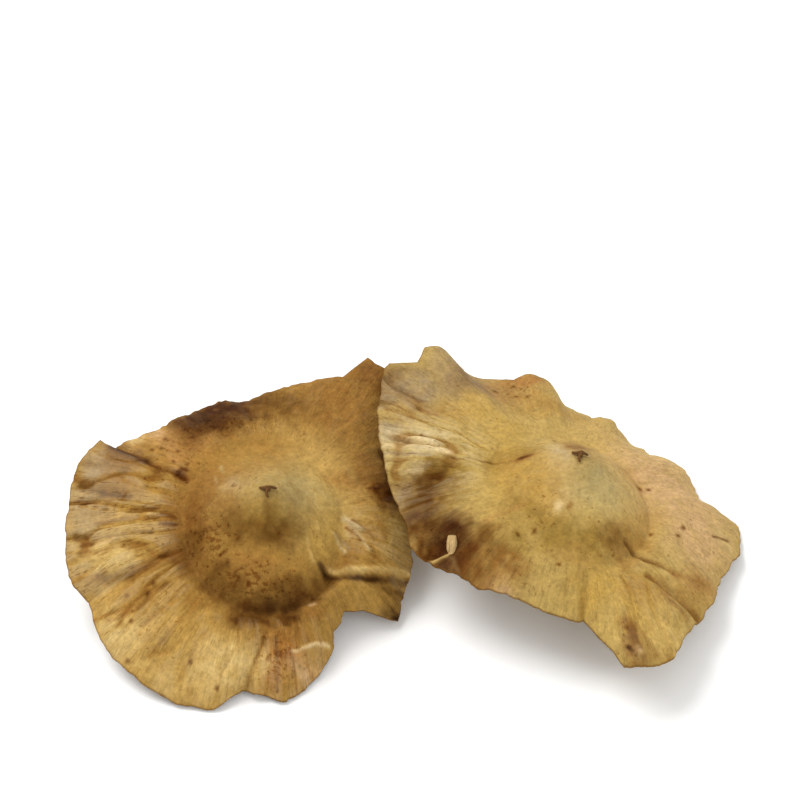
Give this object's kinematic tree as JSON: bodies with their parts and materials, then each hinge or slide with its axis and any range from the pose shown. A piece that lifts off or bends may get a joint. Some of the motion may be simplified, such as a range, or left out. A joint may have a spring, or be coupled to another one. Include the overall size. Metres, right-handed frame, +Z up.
{
  "type": "dried winged fruits",
  "caption": "Dried paliurus fruits: papery wavy winged discs with domed seed bodies, one edge lying over the other.",
  "frame": {"origin": "middle of the pair's footprint, on the surface they lie on", "axes": "+Z up, +X from the left fruit towards the right fruit, -Y towards the viewer"},
  "size_m": [0.0544, 0.032, 0.0115],
  "materials": {
    "dry_wing": "dry papery, ochre with brown stains",
    "pale_dry_wing": "dry papery, pale tan and gold",
    "withered_style": "matte, dark and brittle",
    "stalk_wood": "matte, finely furrowed"
  },
  "bodies": {
    "root": {"left_fruit": "dry_wing", "left_style": "withered_style", "left_stalk": "stalk_wood", "right_fruit": "pale_dry_wing", "right_style": "withered_style", "right_stalk": "stalk_wood"}
  },
  "joints": []
}
